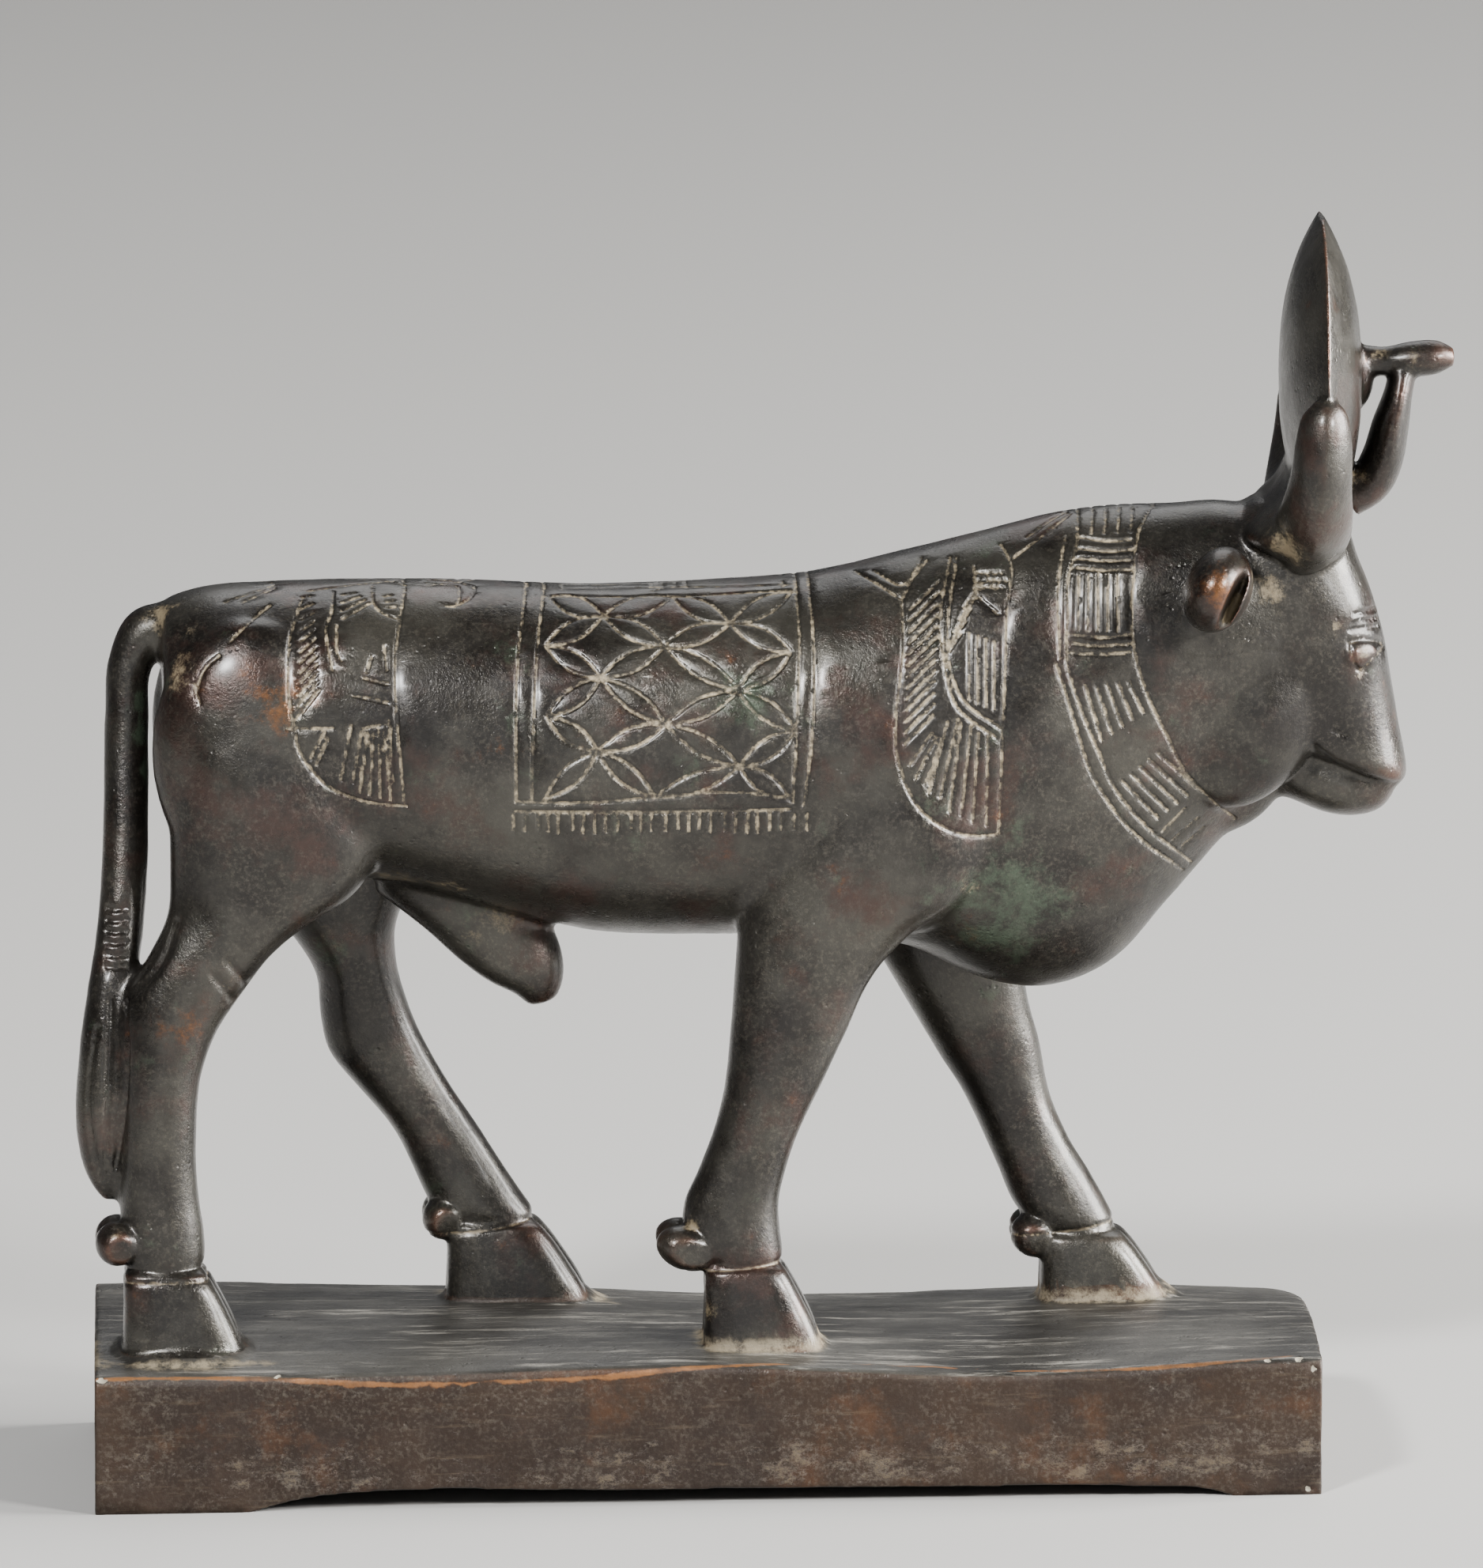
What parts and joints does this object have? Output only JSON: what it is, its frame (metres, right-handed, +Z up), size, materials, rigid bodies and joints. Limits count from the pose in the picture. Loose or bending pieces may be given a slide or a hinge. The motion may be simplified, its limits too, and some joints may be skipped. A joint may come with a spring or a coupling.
{
  "type": "apis bull figure",
  "caption": "Small cast bronze Apis bull walking on a plinth, with sun disc and uraeus between its horns and an engraved blanket, wings and collar",
  "frame": {"origin": "centre of the bounding box, on the plane that the plinth stands on", "axes": "+X towards the bull's face, +Y towards its left side, +Z up"},
  "size_m": [0.1334, 0.042, 0.1207],
  "materials": {
    "bronze": "dark brown-black patinated bronze, satin, with tan deposits in the engraving"
  },
  "bodies": {
    "root": {"apis_bull": "bronze"}
  },
  "joints": []
}
